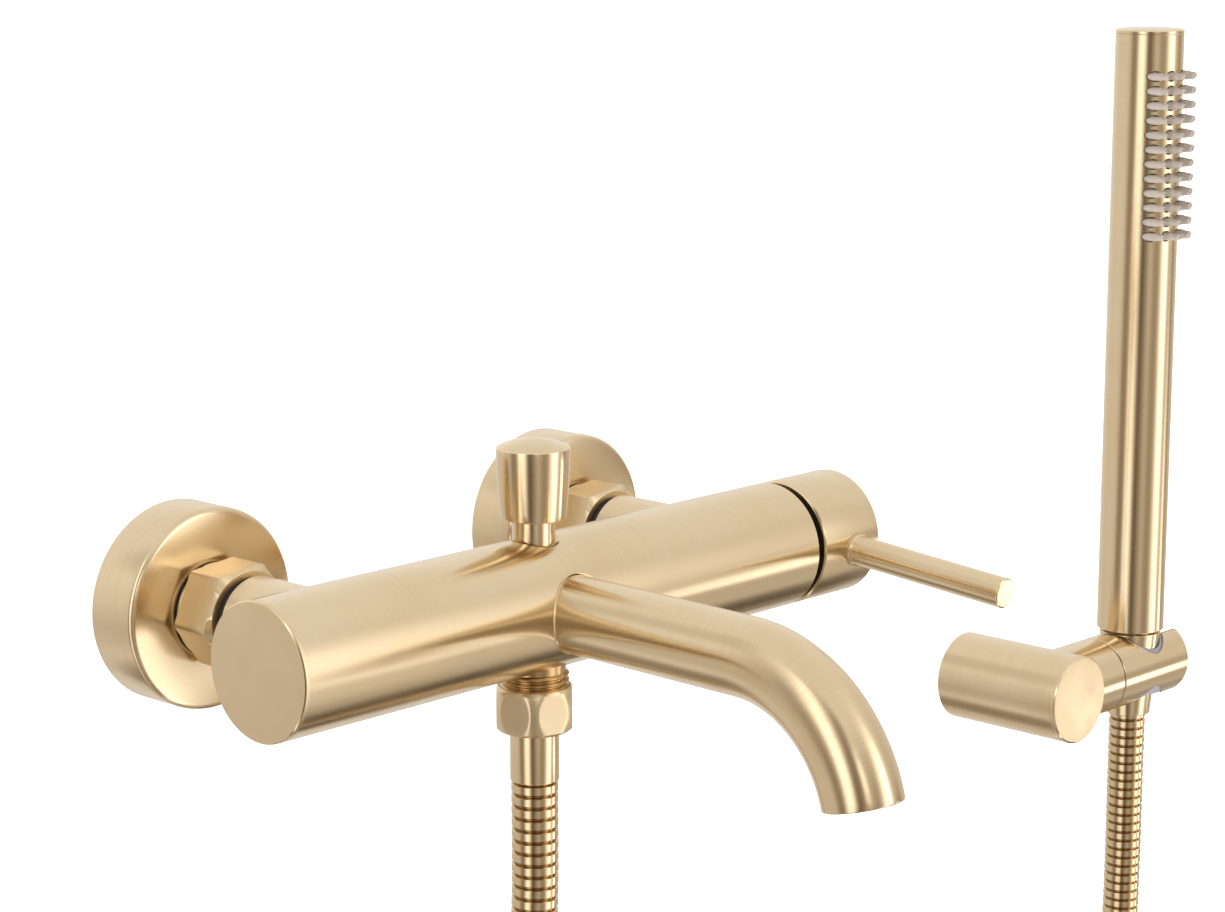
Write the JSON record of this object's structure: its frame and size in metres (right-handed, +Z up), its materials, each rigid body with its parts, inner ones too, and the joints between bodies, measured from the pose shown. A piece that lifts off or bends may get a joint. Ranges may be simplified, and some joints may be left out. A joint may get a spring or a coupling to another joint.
{
  "type": "wall mounted bath faucet",
  "caption": "Wall mounted bath mixer with a curved bath spout, a lift-up diverter, a side lever, and a stick hand shower on a wall bracket with a metal hose.",
  "frame": {"origin": "on the finished wall, midway between the two wall inlets", "axes": "+X to the right along the wall, +Y into the wall, +Z up; the front faces -Y"},
  "size_m": [0.4955, 0.2279, 0.579],
  "materials": {
    "brushed_gold": "brushed brass with a satin gold coating",
    "bare_brass": "machined brass",
    "copper": "drawn copper tube",
    "steel": "turned stainless steel",
    "spring_steel": "drawn stainless spring wire",
    "black_rubber": "moulded rubber",
    "black_plastic": "moulded acetal",
    "grey_plastic": "moulded grey acetal",
    "white_plastic": "moulded white acetal",
    "ceramic": "lapped ceramic",
    "silicone": "translucent grey silicone",
    "hose_gold": "double interlock metal hose with a satin gold coating",
    "tie_black": "moulded black tie"
  },
  "bodies": {
    "root": {"mixer_body": "brushed_gold", "end_plug": "brushed_gold", "hot_water_tube": "copper", "wall_union_left": "bare_brass", "wall_union_right": "bare_brass", "escutcheon_left": "brushed_gold", "escutcheon_right": "brushed_gold", "union_nut_left": "brushed_gold", "union_nut_right": "brushed_gold", "inlet_washer_left": "black_rubber", "inlet_washer_right": "black_rubber", "cartridge_housing": "black_plastic", "ceramic_discs": "ceramic", "cartridge_ring_nut": "bare_brass", "neck_ring": "black_plastic", "spout_tube": "brushed_gold", "spout_nipple": "bare_brass", "aerator_housing": "grey_plastic", "aerator_screen": "white_plastic", "diverter_collar": "brushed_gold", "diverter_spring": "spring_steel", "outlet_nipple": "brushed_gold", "check_valve": "white_plastic", "hose_nut": "brushed_gold", "hose_washer": "black_rubber", "hose_sleeve": "brushed_gold", "bracket_plate": "steel", "bracket_tube": "brushed_gold", "bracket_cap": "brushed_gold", "bracket_screw": "steel", "holder_screw": "steel", "friction_disc": "black_plastic", "hose_drop": "hose_gold", "hose_coil": "hose_gold", "hose_rise": "hose_gold", "hose_tie": "tie_black"},
    "cartridge_turret": {"cartridge_turret": "white_plastic", "pivot_pin": "steel"},
    "handle": {"handle_spindle": "steel", "handle_cap": "brushed_gold", "lever": "brushed_gold", "handle_screw": "steel"},
    "diverter": {"diverter_rod": "bare_brass", "diverter_seal": "black_rubber", "diverter_knob": "brushed_gold"},
    "holder": {"holder": "brushed_gold", "holder_liner": "grey_plastic", "hose_end": "hose_gold"},
    "handset": {"handset_tube": "brushed_gold", "handset_cap": "brushed_gold", "water_tube": "white_plastic", "nozzle_strip": "silicone", "handset_nipple": "bare_brass", "handset_washer": "black_rubber", "cone_nut": "brushed_gold"}
  },
  "joints": [
    {"name": "handle_turn", "type": "hinge", "parent": "root", "child": "cartridge_turret", "pos_m": [0.0825, -0.0805, 0], "axis": [1, 0, 0], "range_deg": [-40, 50]},
    {"name": "handle_lift", "type": "hinge", "parent": "cartridge_turret", "child": "handle", "pos_m": [0.0825, -0.0805, 0], "axis": [0, 0, 1], "range_deg": [0, 16]},
    {"name": "diverter_pull", "type": "slide", "parent": "root", "child": "diverter", "axis": [0, 0, 1], "range_m": [0, 0.008], "stiffness_N_per_m": 400, "springref_m": -0.004, "deforming": ["diverter_spring"]},
    {"name": "holder_swivel", "type": "hinge", "parent": "root", "child": "holder", "pos_m": [0.308, -0.038, -0.099], "axis": [1, 0, 0], "range_deg": [-20, 20]},
    {"name": "handset_lift", "type": "slide", "parent": "holder", "child": "handset", "axis": [0, 0, 1], "range_m": [0, 0.05]}
  ]
}
